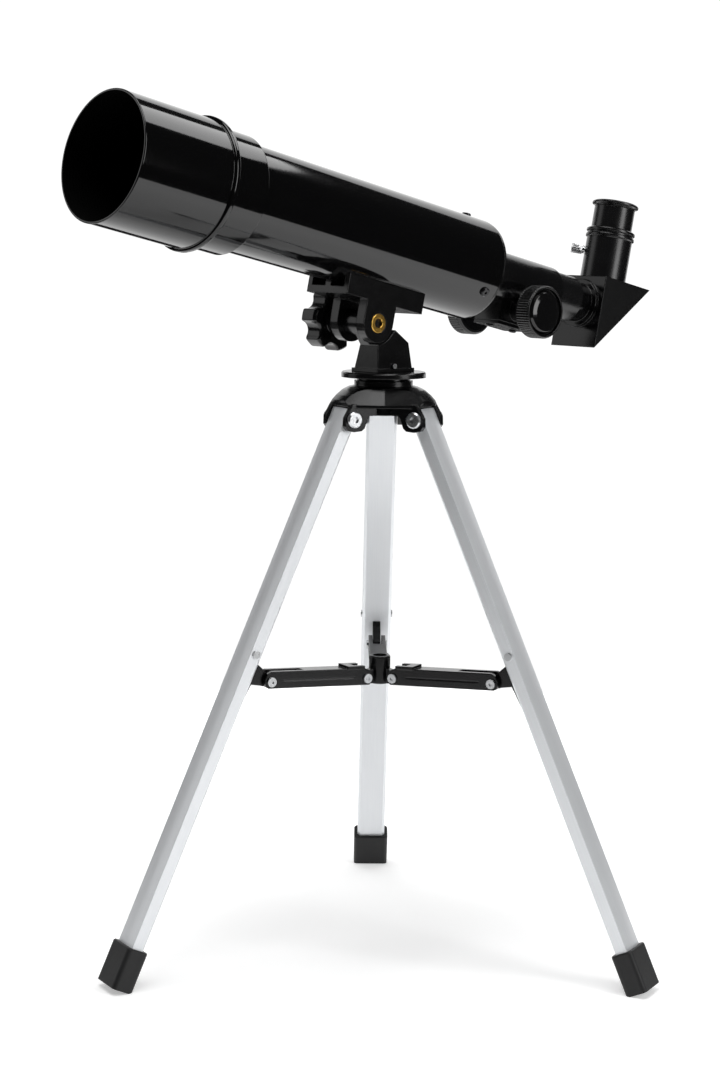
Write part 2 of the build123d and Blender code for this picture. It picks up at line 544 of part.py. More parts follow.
def make_focuser_body():
    """A plug in the tube's rear, an end plate and the barrel, all turned."""
    plug_r = TUBE_R - TUBE_WALL - RUNNING_GAP
    body = turned_x([
        (-66.0, 24.0), (-66.0, plug_r), (TUBE_REAR, plug_r), (TUBE_REAR, TUBE_R - 0.2),
        (TUBE_REAR - 1.6, TUBE_R - 0.4), (TUBE_REAR - 3.2, TUBE_R - 2.2), (TUBE_REAR - 6.5, 19.0),
        (TUBE_REAR - 11, BARREL_R), (BARREL_REAR + 0.8, BARREL_R), (BARREL_REAR, BARREL_R - 0.8),
        (BARREL_REAR, DRAW_R), (TUBE_REAR + 1, DRAW_R), (TUBE_REAR + 5.0, 24.0)])
    body -= draw_bore() + pinion_room()
    for angle in TUBE_SCREW_ANGLES:
        body -= at_tube_screw(Cylinder(TUBE_SCREW_R, 10), angle)
    return in_tube_frame(body)


def make_pinion_housing():
    """The block under the barrel that the pinion turns in, with a boss on each side."""
    body = block(*housing_length(), -HOUSING_HALF, HOUSING_HALF, HOUSING_LOW, -8)
    body += rod_y(-BOSS_HALF, BOSS_HALF, BOSS_R, PINION_X, PINION_Z)
    body -= rod_x(BARREL_REAR - 5, -60, BARREL_R) + pinion_room()
    body -= block(PINION_X - 4.4, PINION_X + 4.4, -RACK_HALF * 2, RACK_HALF * 2, HOUSING_LOW - 1, PINION_Z)
    for x in COVER_SCREWS:
        body -= rod_z(HOUSING_LOW - 1, HOUSING_LOW + 5, COVER_SCREW_R, PINION_X + x)
    return in_tube_frame(body)


def housing_length():
    return PINION_X - HOUSING_REACH, PINION_X + HOUSING_REACH


def make_pinion_cover():
    low = HOUSING_LOW - COVER_WALL
    cover = block(*housing_length(), -HOUSING_HALF, HOUSING_HALF, low, HOUSING_LOW - 0.02)
    for x in COVER_SCREWS:
        cover -= rod_z(-60, 0, COVER_SCREW_R, PINION_X + x)
    return in_tube_frame(cover)


def make_pinion_cover_screws():
    screw, low = cap_screw(2.3, 1.2, 1.5, COVER_SCREW_R, 6.0), HOUSING_LOW - COVER_WALL
    screws = [Location((PINION_X + x, 0, low), (180, 0, 0)) * screw for x in COVER_SCREWS]
    return in_tube_frame(Compound(children=screws))


def make_pinion():
    """The shaft with its toothed middle."""
    pitch_r = MODULE * TEETH / 2
    tip, root = pitch_r + 0.38, pitch_r - 0.66
    outline = []
    for i in range(TEETH):
        a = 2 * pi * i / TEETH + pi / 2
        for r, w in ((root, -0.48), (tip, -0.15), (tip, 0.15), (root, 0.48)):
            outline.append((PINION_X + r * cos(a + w / r), PINION_Z + r * sin(a + w / r)))
    gear = slab_y(outline, -RACK_HALF, RACK_HALF)
    shaft = rod_y(-KNOB_INNER - 8, KNOB_INNER + 8, SHAFT_R, PINION_X, PINION_Z)
    return in_tube_frame(gear + shaft)


def make_focus_knob(side):
    """A knurled hand wheel with a groove in its outer face round a raised middle; side is 1 or -1."""
    outer, inner, socket = KNOB_OUTER, KNOB_INNER, KNOB_INNER + 8.1
    points = [(inner, SHAFT_R), (inner, 6.0), (inner + 1.5, KNOB_R - 1.2), (inner + 2.6, KNOB_R),
              (outer - 2.0, KNOB_R), (outer - 1.0, KNOB_R - 1.0), (outer - 1.0, 14.2),
              (outer - 3.4, 13.8), (outer - 3.4, 12.8), (outer - 0.8, 11.4), (outer, 9.6),
              (outer, 0), (socket, 0), (socket, SHAFT_R)]
    knob = Location((PINION_X, 0, PINION_Z), (0, 0, side * 90)) * turned_x(points)
    return in_tube_frame(knob)


def make_draw_tube():
    tube = turned_x([(DRAW_REAR, DRAW_BORE_R), (DRAW_REAR, DRAW_R - 0.4), (DRAW_REAR + 0.4, DRAW_R),
                   (DRAW_FRONT, DRAW_R), (DRAW_FRONT, DRAW_BORE_R)])
    tube -= block(-142.0, -82.0, -RACK_HALF - 0.2, RACK_HALF + 0.2, -DRAW_R - 1, -12.85)
    return in_tube_frame(tube)


def make_focus_rack():
    """A straight rack let into the draw tube's underside, in step with the pinion."""
    pitch = pi * MODULE
    pitch_z = PINION_Z + MODULE * TEETH / 2
    root, tip = pitch_z + 0.66, pitch_z - 0.38
    x0, x1 = -141.6, -82.4
    first = -int((PINION_X - x0 - 1.0) / pitch - 0.5) - 0.5
    outline = [(x1, -12.9), (x0, -12.9), (x0, root)]
    n = 0
    while PINION_X + (first + n) * pitch < x1 - 0.8:
        x = PINION_X + (first + n) * pitch
        outline += [(x - 0.5, root), (x - 0.15, tip), (x + 0.15, tip), (x + 0.5, root)]
        n += 1
    outline.append((x1, root))
    return in_tube_frame(slab_y(outline, -RACK_HALF, RACK_HALF))


# ---- Star diagonal ------------------------------------------------------------------
def diagonal_outline(inset=0.0):
    """Front edge upright, top edge level, long side sloping; inset moves each edge inwards."""
    slope = atan2(DIAGONAL_TOP - DIAGONAL_LOW, DIAGONAL_LENGTH)
    x, top = DIAGONAL_FRONT - inset, DIAGONAL_TOP - inset
    shift = inset / sin(slope)
    run = DIAGONAL_LENGTH - inset - shift - inset / (sin(slope) / cos(slope))
    return [(x, top), (x - run, top), (x, top - run * sin(slope) / cos(slope))]


def make_diagonal_body():
    """A hollow right-angled housing with the nose tube, and a collar round its root."""
    half = DIAGONAL_WIDTH / 2
    body = slab_y(diagonal_outline(), -half, half)
    inner = half - DIAGONAL_WALL
    cavity = diagonal_outline(DIAGONAL_WALL)
    (x, top), (tail, _), (_, low) = cavity
    body -= slab_y([(x, top), (tail - 40, top), (tail - 40, low - 40), (x, low - 40)], -inner, inner)
    body += rod_x(DIAGONAL_FRONT - 0.5, DIAGONAL_FRONT + 2.6, COLLAR_R)
    body += rod_x(DIAGONAL_FRONT - 1.0, DIAGONAL_FRONT + NOSE_LENGTH, NOSE_R)
    body -= rod_x(DIAGONAL_FRONT - 3.0, DIAGONAL_FRONT + NOSE_LENGTH + 4.0, NOSE_BORE_R)
    body -= rod_z(DIAGONAL_TOP - 4, DIAGONAL_TOP + 1, DRAW_BORE_R, HOLDER_X)
    return in_tube_frame(body)


def make_diagonal_back():
    """The sloping cover that closes the housing and carries the mirror."""
    half = DIAGONAL_WIDTH / 2 - DIAGONAL_WALL - 0.05
    (x, top), (tail, _), (_, low) = diagonal_outline(DIAGONAL_WALL + 0.05)
    (_, _), (outer_tail, _), (_, outer_low) = diagonal_outline()
    outline = [(tail, top), (x, low), (x, outer_low + 2.0), (outer_tail + 2.0, top)]
    return in_tube_frame(slab_y(outline, -half, half))


def make_diagonal_mirror():
    half = 13.0
    slope = degrees(atan2(DIAGONAL_TOP - DIAGONAL_LOW, DIAGONAL_LENGTH))
    mirror = Location((HOLDER_X, 0, 0), (0, slope, 0)) * block(-17, 17, -half, half, -2.0, 0)
    return in_tube_frame(mirror)


def make_eyepiece_holder():
    """The tube on the diagonal's top, with a double bead at its mouth."""
    z0, z1 = DIAGONAL_TOP, HOLDER_TOP
    profile = [(z0, DRAW_BORE_R), (z0, HOLDER_R), (z1 - 6.4, HOLDER_R)]
    low_r, bead_r = HOLDER_R + 0.2, HOLDER_R + 1.0
    for start in (z1 - 6.0, z1 - 2.6):
        profile += [(start, low_r), (start + 0.6, bead_r), (start + 1.8, bead_r), (start + 2.4, low_r)]
    profile += [(z1, HOLDER_R), (z1, DRAW_BORE_R)]
    holder = Location((HOLDER_X, 0, 0)) * turned_z(profile)
    screw_hole = Location((0, 0, THUMBSCREW_Z)) * rod_x(0, 30, 1.5)
    holder -= Location((HOLDER_X, 0, 0)) * around(screw_hole, -THUMBSCREW_TURN)
    return in_tube_frame(holder)


def make_thumbscrew():
    neck, head = HOLDER_R + 0.4, HOLDER_R + 1.6
    screw = rod_x(12.6, head, 1.45) + rod_x(neck, head, 2.6) + rod_x(head, 23.4, 3.0)
    screw = Location((0, 0, THUMBSCREW_Z)) * screw
    return in_tube_frame(Location((HOLDER_X, 0, 0)) * around(screw, -THUMBSCREW_TURN))


def make_eyepiece_barrel():
    """The plug-in barrel, its shoulder on the holder's mouth, and the waist below the eyecup."""
    profile = [(24.0, 10.8), (24.0, DRAW_BORE_R - RUNNING_GAP), (HOLDER_TOP + 0.1, DRAW_BORE_R - RUNNING_GAP),
               (HOLDER_TOP + 0.1, EYEPIECE_R), (EYEPIECE_TOP - 3.6, EYEPIECE_R), (EYEPIECE_TOP - 3.6, 10.8)]
    return in_tube_frame(Location((HOLDER_X, 0, 0)) * turned_z(profile))


def make_eyecup():
    """The flared rim round the eye lens."""
    z = EYEPIECE_TOP
    profile = [(z - 3.55, 8.4), (z - 3.55, EYEPIECE_R), (z - 2.6, EYEPIECE_R + 0.2), (z - 1.9, EYECUP_R),
               (z - 0.8, EYECUP_R), (z, EYECUP_R - 1.0), (z, 11.8), (z - 2.6, 6.6), (z - 2.6, 5.4),
               (z - 6.8, 5.4), (z - 6.8, 8.4)]
    return in_tube_frame(Location((HOLDER_X, 0, 0)) * turned_z(profile))


def make_eye_lens():
    eye = lens(EYEPIECE_TOP - 3.2, EYEPIECE_TOP - 6.0, 5.35, 60, 16)
    return in_tube_frame(Location((HOLDER_X, 0, 0), (0, -90, 0)) * eye)


def make_field_lens():
    field = lens(34.0, 29.6, 10.75, 38, 300)
    return in_tube_frame(Location((HOLDER_X, 0, 0), (0, -90, 0)) * field)


# ---- The whole ----------------------------------------------------------------------
def build():
    nodes = {
        "tripod_head": make_tripod_head(),
        "spreader_hub": make_spreader_hub(),
        "azimuth_flange": make_azimuth_flange(),
        "azimuth_ring": make_azimuth_ring(),
        "azimuth_bolt": make_azimuth_bolt(),
        "azimuth_post": make_azimuth_post(),
        "post_screw": make_post_screw(),
        "altitude_knob": make_altitude_knob(),
        "altitude_bolt": make_altitude_bolt(),
        "altitude_washer": make_altitude_washer(),
        "saddle": make_saddle(),
        "saddle_screws": make_saddle_screws(),
        "brass_insert": make_brass_insert(),
        "main_tube": make_main_tube(),
        "lens_cell": make_lens_cell(),
        "objective_crown": make_objective_crown(),
        "objective_flint": make_objective_flint(),
        "lens_retainer": make_lens_retainer(),
        "dew_shield": make_dew_shield(),
        "tube_baffle": make_tube_baffle(),
        "tube_screws": make_tube_screws(),
        "focuser_body": make_focuser_body(),
        "pinion_housing": make_pinion_housing(),
        "pinion_cover": make_pinion_cover(),
        "pinion_cover_screws": make_pinion_cover_screws(),
        "pinion_shaft": make_pinion(),
        "focus_knob_near": make_focus_knob(1),
        "focus_knob_far": make_focus_knob(-1),
        "draw_tube": make_draw_tube(),
        "focus_rack": make_focus_rack(),
        "diagonal_body": make_diagonal_body(),
        "diagonal_back": make_diagonal_back(),
        "diagonal_mirror": make_diagonal_mirror(),
        "eyepiece_holder": make_eyepiece_holder(),
        "eyepiece_thumbscrew": make_thumbscrew(),
        "eyepiece_barrel": make_eyepiece_barrel(),
        "eyecup": make_eyecup(),
        "eye_lens": make_eye_lens(),
        "field_lens": make_field_lens(),
    }
    repeated = {
        "leg": make_leg(),
        "foot": make_foot(),
        "pivot_bolt": make_pivot_bolt(),
        "leg_bracket": make_leg_bracket(),
        "bracket_rivet": make_bracket_rivet(),
        "spreader_arm": make_spreader_arm(),
        "arm_rivets": make_arm_rivets(),
    }
    for name, part in repeated.items():
        for k in range(3):
            nodes[f"{name}_{k + 1}"] = around(part, leg_azimuth(k))
    return nodes


def export_all():
    os.makedirs("parts", exist_ok=True)
    for name, part in build().items():
        export_step(part, f"parts/{name}.step")


if __name__ == "__main__":
    export_all()
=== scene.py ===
"""A table-top telescope on its folding tripod: the looks, built round the CAD frame.

Shapes are worked out in millimetres in the part's frame (+X the way the telescope points, +Z up) and
stored in metres. The optical axis's own frame has its origin above the altitude bolt, +X to the lens.
"""
import json
import math

import bpy
import numpy as np
from mathutils import Matrix, Vector


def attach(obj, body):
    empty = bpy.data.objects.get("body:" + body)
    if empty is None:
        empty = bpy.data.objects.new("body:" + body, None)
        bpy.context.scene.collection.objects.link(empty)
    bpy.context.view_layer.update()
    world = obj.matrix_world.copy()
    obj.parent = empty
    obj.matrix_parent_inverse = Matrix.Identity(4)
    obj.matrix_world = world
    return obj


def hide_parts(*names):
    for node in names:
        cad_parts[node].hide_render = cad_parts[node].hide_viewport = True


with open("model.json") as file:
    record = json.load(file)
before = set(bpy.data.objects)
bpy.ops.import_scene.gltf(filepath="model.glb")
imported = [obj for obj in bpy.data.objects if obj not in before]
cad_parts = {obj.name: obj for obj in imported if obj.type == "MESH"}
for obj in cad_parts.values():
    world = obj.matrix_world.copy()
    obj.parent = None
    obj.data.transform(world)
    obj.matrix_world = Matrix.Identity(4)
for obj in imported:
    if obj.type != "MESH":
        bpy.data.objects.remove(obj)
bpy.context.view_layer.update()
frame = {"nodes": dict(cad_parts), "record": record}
nodes = frame["nodes"]

MM = 0.001
TILT = math.radians(12.4)
BOLT = np.array((14.0, 0.0, 374.0))             # altitude bolt, along Y
ALONG = np.array((math.cos(TILT), 0.0, math.sin(TILT)))      # towards the lens
ABOVE = np.array((-math.sin(TILT), 0.0, math.cos(TILT)))     # square to it, upwards
ASIDE = np.array((0.0, 1.0, 0.0))
AXIS = BOLT - 7.2 * ASIDE + 48.8 * ABOVE        # a point on the optical axis
HOLDER = AXIS - 202.3 * ALONG                   # a point on the eyepiece's axis
PINION = AXIS - 117.8 * ALONG - 18.0 * ABOVE    # a point on the focusing shaft


# ---- Surfaces -----------------------------------------------------------------------
def outward(points, faces):
    """Turns every face round if the closed surface's signed volume, a sixth of the sum of
    a . (b x c) over its triangles, is negative."""
    volume = 0.0
    for quads in faces:
        for k in range(1, quads.shape[1] - 1):
            a, b, c = points[quads[:, 0]], points[quads[:, k]], points[quads[:, k + 1]]
            volume += np.einsum("ij,ij->", a, np.cross(b, c))
    return [q[:, ::-1] for q in faces] if volume < 0 else faces


def skin(name, points, faces, marks=None):
    """A smooth mesh object from millimetre points and lists of quads and triangles; marks gives
    each face's material number."""
    faces = outward(points, faces)
    mesh = bpy.data.meshes.new(name)
    mesh.vertices.add(len(points))
    mesh.vertices.foreach_set("co", (points * MM).astype(np.float32).ravel())
    corners = np.concatenate([f.ravel() for f in faces])
    sizes = np.concatenate([np.full(len(f), f.shape[1]) for f in faces])
    mesh.loops.add(len(corners))
    mesh.loops.foreach_set("vertex_index", corners.astype(np.int32))
    mesh.polygons.add(len(sizes))
    mesh.polygons.foreach_set("loop_start", (np.cumsum(sizes) - sizes).astype(np.int32))
    if marks is not None:
        mesh.polygons.foreach_set("material_index", marks.astype(np.int32))
    mesh.update(calc_edges=True)
    mesh.validate()
    mesh.shade_smooth()
    piece = bpy.data.objects.new(name, mesh)
    bpy.context.scene.collection.objects.link(piece)
    return piece


def woven(rows, columns, ring):
    """Quads of a grid whose columns always close round; ring closes the rows as well."""
    i = np.arange(rows if ring else rows - 1)[:, None]
    j = np.arange(columns)[None, :]
    a, b = i * columns, ((i + 1) % rows) * columns
    k = (j + 1) % columns
    return np.stack(np.broadcast_arrays(a + j, a + k, b + k, b + j), -1).reshape(-1, 4)


def tube_surface(name, grid, marks=None):
    """A closed surface from grid[profile point, step round]; its profile closes on itself, so the
    form is a ring."""
    rows, columns = grid.shape[:2]
    each = None if marks is None else np.repeat(marks, columns)
    return skin(name, grid.reshape(-1, 3), [woven(rows, columns, True)], each)


def capped_surface(name, grid, first, last):
    """A closed surface from grid[profile point, step round] and a pole at each end."""
    rows, columns = grid.shape[:2]
    points = np.concatenate([grid.reshape(-1, 3), [first, last]])
    j = np.arange(columns)
    k = (j + 1) % columns
    low = np.stack([np.full(columns, rows * columns), k, j], -1)
    high = np.stack([np.full(columns, rows * columns + 1), (rows - 1) * columns + j,
                     (rows - 1) * columns + k], -1)
    return skin(name, points, [woven(rows, columns, False), np.concatenate([low, high])])


def eased(corners, closed=True, steps=5):
    """A profile with rounded corners. Each corner is (along, radius, round); the arc touches both
    sides at round / tan(half the angle), and one more point just outside it keeps the flats flat.
    Returns the points and, for each, the number of the corner it came from."""
    p = np.array([c[:2] for c in corners], float)
    n, out, source = len(p), [], []
    for i, corner in enumerate(corners):
        if corner[2] <= 0 or (not closed and i in (0, n - 1)):
            out.append(p[i][None])
            source.append([i])
            continue
        u, v = p[i - 1] - p[i], p[(i + 1) % n] - p[i]
        lu, lv = np.linalg.norm(u), np.linalg.norm(v)
        u, v = u / lu, v / lv
        half = math.acos(np.clip(u @ v, -1, 1)) / 2
        reach = min(corner[2] / math.tan(half), 0.46 * lu, 0.46 * lv)
        radius = reach * math.tan(half)
        middle = p[i] + (u + v) / np.linalg.norm(u + v) * radius / math.sin(half)
        a, b = p[i] + u * reach - middle, p[i] + v * reach - middle
        t = np.linspace(0, 1, steps + 1)[:, None]
        swing = math.pi - 2 * half
        arc = middle + (np.sin((1 - t) * swing) * a + np.sin(t * swing) * b) / math.sin(swing)
        edge = min(0.25 * reach, 0.15)
        arc = np.concatenate([[p[i] + u * (reach + edge)], arc, [p[i] + v * (reach + edge)]])
        out.append(arc)
        source.append([i] * len(arc))
    return np.concatenate(out), np.concatenate(source)


def round_about(profile, origin, axis, side, steps, radius_of=None):
    """grid[i, j] = origin + along_i axis + r (cos(phi_j) side + sin(phi_j) axis x side), where r is
    the profile's radius, or radius_of(profile, phi) where it changes round the axis."""
    phi = np.arange(steps) * 2 * math.pi / steps
    other = np.cross(axis, side)
    r = profile[:, 1:2] + 0 * phi if radius_of is None else radius_of(profile, phi)
    ring = np.cos(phi)[None, :, None] * side + np.sin(phi)[None, :, None] * other
    return origin + profile[:, 0][:, None, None] * axis + r[:, :, None] * ring


def turned_ring(name, corners, origin, axis, side, steps=160, radius_of=None, inner=()):
    """A turned ring; inner lists the corners whose following side takes the second material."""
    profile, source = eased(corners)
    marks = np.isin(source, list(inner)).astype(int) if inner else None
    return tube_surface(name, round_about(profile, origin, axis, side, steps, radius_of), marks)


def turned_solid(name, corners, origin, axis, side, steps=96, radius_of=None):
    """A turned solid whose first and last profile points are on the axis."""
    profile, _ = eased(corners, closed=False)
    ends = [origin + profile[k, 0] * axis for k in (0, -1)]
    grid = round_about(profile[1:-1], origin, axis, side, steps, radius_of)
    return capped_surface(name, grid, *ends)


# ---- Shader maths -------------------------------------------------------------------
class Value:
    """A number in a shader, which takes part in ordinary arithmetic."""

    def __init__(self, finish, socket):
        self.finish, self.socket = finish, socket

    def __add__(self, other):
        return self.finish.maths("ADD", self, other)

    def __sub__(self, other):
        return self.finish.maths("SUBTRACT", self, other)

    def __rsub__(self, other):
        return self.finish.maths("SUBTRACT", other, self)

    def __mul__(self, other):
        return self.finish.maths("MULTIPLY", self, other)

    def __truediv__(self, other):
        return self.finish.maths("DIVIDE", self, other)

    def __gt__(self, other):
        return self.finish.maths("GREATER_THAN", self, other)

    __radd__ = __add__
    __rmul__ = __mul__


class Finish:
    """One material: its nodes, and the shader that they feed."""

    def __init__(self, name, colour, roughness, metallic=0.0, **fixed):
        self.material = bpy.data.materials.new(name)
        self.material.use_nodes = True
        self.tree = self.material.node_tree
        self.shader = next(n for n in self.tree.nodes if n.type == "BSDF_PRINCIPLED")
        self.shader.inputs["Base Color"].default_value = (*colour, 1.0)
        self.shader.inputs["Roughness"].default_value = roughness
        self.shader.inputs["Metallic"].default_value = metallic
        for socket, value in fixed.items():
            self.shader.inputs[socket.replace("_", " ")].default_value = value
        self.material.diffuse_color = (*colour, 1.0)
        self.place = self.node("ShaderNodeTexCoord").outputs["Object"]
        self.normal = None

    def node(self, kind, settings=None, **values):
        """A node of that type; its settings are set first, then its sockets' values or links."""
        made = self.tree.nodes.new(kind)
        for key, value in (settings or {}).items():
            if key == "stops":
                ramp = made.color_ramp.elements
                while len(ramp) < len(value):
                    ramp.new(0.5)
                for stop, (at, shade) in zip(ramp, value):
                    stop.position, stop.color = at, (*shade, 1.0)
            else:
                setattr(made, key, value)
        for key, value in values.items():
            socket = made.inputs[int(key[1:]) if key[0] == "_" else key.replace("_", " ")]
            self.feed(socket, value)
        return made

    def feed(self, socket, value):
        if isinstance(value, Value):
            value = value.socket
        if isinstance(value, bpy.types.NodeSocket):
            self.tree.links.new(value, socket)
        else:
            socket.default_value = value

    def maths(self, operation, *numbers):
        made = self.node("ShaderNodeMath", {"operation": operation},
                         **{f"_{k}": n for k, n in enumerate(numbers)})
        return Value(self, made.outputs[0])

    def along(self, direction, origin=(0, 0, 0)):
        """The distance from origin along a direction, in millimetres."""
        there = self.node("ShaderNodeVectorMath", {"operation": "SUBTRACT"}, _0=self.place,
                          _1=tuple(float(c) * MM for c in origin))
        reach = self.node("ShaderNodeVectorMath", {"operation": "DOT_PRODUCT"}, _0=there.outputs[0],
                          _1=tuple(float(c) / MM for c in direction))
        return Value(self, reach.outputs["Value"])

    def noise(self, size, detail=2.0, rough=0.5, where=None):
        """Smooth noise from 0 to 1, with features of that size in millimetres."""
        made = self.node("ShaderNodeTexNoise", Vector=where or self.place, Scale=1.0 / (size * MM),
                         Detail=detail, Roughness=rough)
        return Value(self, made.outputs["Fac"])

    def drawn(self, direction, size, stretch):
        """Noise drawn out along a direction: its place is squeezed there by stretch."""
        d = np.array(direction, float)
        keep = self.along(d) * (MM * (1.0 / stretch - 1.0))
        shift = self.node("ShaderNodeVectorMath", {"operation": "SCALE"},
                          _0=tuple(float(c) for c in d), Scale=keep)
        where = self.node("ShaderNodeVectorMath", {"operation": "ADD"}, _0=self.place,
                          _1=shift.outputs[0])
        return self.noise(size, 3.0, 0.6, where.outputs[0])

    def soft_edges(self, radius):
        """Rounds the light on sharp edges over that radius in millimetres."""
        self.normal = self.node("ShaderNodeBevel", {"samples": 6}, Radius=radius * MM).outputs["Normal"]
        return self

    def relief(self, height, depth, strength=1.0):
        """Raises the surface by height (0 to 1) times depth in millimetres."""
        values = {"Height": height, "Distance": depth * MM, "Strength": strength}
        if self.normal is not None:
            values["Normal"] = self.normal
        self.normal = self.node("ShaderNodeBump", **values).outputs["Normal"]
        return self

    def tint(self, mask, low, high):
        """Base colour from low to high as mask goes from 0 to 1."""
        made = self.node("ShaderNodeMix", {"data_type": "RGBA"}, _0=mask, _6=(*low, 1.0), _7=(*high, 1.0))
        self.feed(self.shader.inputs["Base Color"], made.outputs[2])
        return self

    def rough(self, value):
        self.feed(self.shader.inputs["Roughness"], value)
        return self

    def done(self):
        if self.normal is not None:
            self.feed(self.shader.inputs["Normal"], self.normal)
        return self.material


# ---- Finishes -----------------------------------------------------------------------
def black_enamel():
    """Stoved gloss enamel: nearly flat, with a trace of orange peel."""
    f = Finish("black_enamel", (0.0018, 0.0018, 0.0020), 0.07)
    f.rough(0.05 + 0.05 * f.noise(14, 3))
    return f.relief(f.noise(2.2), 0.004).done()


def gloss_plastic(edge=0.6):
    """Moulded gloss plastic: smooth, with soft edges and faint flow marks."""
    f = Finish("gloss_plastic", (0.0035, 0.0035, 0.0038), 0.15).soft_edges(edge)
    f.rough(0.13 + 0.09 * f.noise(9, 3))
    return f.relief(f.noise(3.0), 0.004).done()


def turned_plastic():
    """The same plastic on round pieces that need no softened edges."""
    f = Finish("turned_plastic", (0.0035, 0.0035, 0.0038), 0.25)
    f.rough(0.23 + 0.07 * f.noise(9, 3))
    return f.relief(f.noise(3.0), 0.003).done()


def satin_plastic(name="satin_plastic", edge=0.8):
    """Moulded satin plastic with a fine spark-eroded grain."""
    f = Finish(name, (0.0025, 0.0025, 0.0028), 0.22, Specular_IOR_Level=0.40).soft_edges(edge)
    f.rough(0.17 + 0.10 * f.noise(6, 3))
    f.tint(f.noise(0.5, 2), (0.0018, 0.0018, 0.0020), (0.0038, 0.0038, 0.0042))
    return f.relief(f.noise(0.35, 2), 0.006).done()


def wheel_plastic():
    """Satin on a focusing wheel's rim, and gloss on the raised middle of its face."""
    f = Finish("wheel_plastic", (0.0035, 0.0035, 0.0038), 0.2).soft_edges(0.15)
    x, z = f.along(ALONG, PINION), f.along(ABOVE, PINION)
    rim = f.maths("SQRT", x * x + z * z) > 13.3
    f.rough(0.07 + 0.16 * rim + 0.06 * f.noise(6, 3))
    return f.relief(rim * f.noise(0.35, 2), 0.010).done()


def diagonal_plastic():
    """Gloss on the diagonal's front and top; its two cheeks have a fine leather-like texture."""
    f = Finish("diagonal_plastic", (0.0016, 0.0016, 0.0018), 0.16, Specular_IOR_Level=0.38).soft_edges(1.1)
    offset = f.maths("ABSOLUTE", f.along(ASIDE, AXIS))
    cheek = offset > 18.32
    f.rough(0.12 + 0.24 * cheek + 0.06 * f.noise(7, 3))
    return f.relief(cheek * f.noise(0.8, 3, 0.6), 0.10).done()


def flat_black():
    """Matt black inside the tubes, so that no stray light comes back."""
    f = Finish("flat_black", (0.0010, 0.0010, 0.0010), 0.92, Specular_IOR_Level=0.04)
    f.rough(0.88 + 0.1 * f.noise(1.2, 2))
    return f.relief(f.noise(0.6, 2), 0.02).done()


def foot_rubber():
    """Matt rubber with a faint mould bloom."""
    f = Finish("foot_rubber", (0.007, 0.007, 0.0075), 0.45, Specular_IOR_Level=0.35).soft_edges(1.0)
    f.tint(f.noise(3.5, 4, 0.6), (0.005, 0.005, 0.0055), (0.010, 0.010, 0.0105))
    f.rough(0.40 + 0.12 * f.noise(2.0, 3))
    return f.relief(f.noise(0.5, 2), 0.03).done()


def leg_aluminium(k):
    """Satin anodised extrusion: drawn lines run down the leg, over a soft grain."""
    azimuth, lean = math.radians(-11.5 + 120 * k), math.radians(24.65)
    down = (math.sin(lean) * math.cos(azimuth), math.sin(lean) * math.sin(azimuth), -math.cos(lean))
    f = Finish(f"leg_aluminium_{k + 1}", (0.82, 0.835, 0.85), 0.40, 0.6).soft_edges(0.3)
    lines = f.drawn(down, 0.5, 60)
    f.rough(0.36 + 0.10 * lines + 0.04 * f.noise(10, 3))
    f.tint(lines, (0.74, 0.76, 0.785), (0.83, 0.845, 0.86))
    return f.relief(lines * 0.7 + f.noise(0.25, 1) * 0.3, 0.006).done()


def plated_steel():
    """Zinc-plated screws and pins."""
    f = Finish("plated_steel", (0.60, 0.61, 0.62), 0.28, 1.0).soft_edges(0.18)
    f.rough(0.22 + 0.14 * f.noise(1.5, 3))
    return f.relief(f.noise(0.5, 2), 0.006).done()


def blackened_steel():
    """Blackened screws, and the two bolts of the mount."""
    f = Finish("blackened_steel", (0.02, 0.02, 0.021), 0.25, 0.6).soft_edges(0.2)
    f.rough(0.2 + 0.12 * f.noise(1.2, 3))
    return f.relief(f.noise(0.5, 2), 0.005).done()


def bright_chrome():
    """Nickel-chrome plate."""
    f = Finish("bright_chrome", (0.80, 0.80, 0.81), 0.14, 1.0)
    f.rough(0.10 + 0.09 * f.noise(1.6, 3))
    return f.done()


def turned_brass():
    """Machined brass: fine rings round the bolt's axis."""
    f = Finish("turned_brass", (0.78, 0.46, 0.09), 0.24, 1.0)
    x, z = f.along((1, 0, 0), BOLT), f.along((0, 0, 1), BOLT)
    r = f.maths("SQRT", x * x + z * z)
    rings = f.maths("SINE", r * 22.0) * 0.5 + 0.5
    f.tint(f.noise(2.0, 3), (0.70, 0.39, 0.07), (0.84, 0.53, 0.13))
    f.rough(0.18 + 0.12 * rings)
    return f.relief(rings, 0.004).done()


def coated_glass():
    """Lens glass with a thin bluish coating."""
    f = Finish("coated_glass", (0.93, 0.97, 0.98), 0.0, 0.0, IOR=1.52, Transmission_Weight=1.0,
               Coat_Weight=0.6, Coat_Roughness=0.02, Coat_IOR=1.7, Coat_Tint=(0.55, 0.62, 1.0, 1.0))
    f.rough(0.01 + 0.02 * f.noise(8, 2))
    return f.done()


def first_surface_mirror():
    """The diagonal's silvered plate."""
    f = Finish("first_surface_mirror", (0.90, 0.91, 0.92), 0.03, 1.0)
    f.rough(0.02 + 0.02 * f.noise(6, 2))
    return f.done()


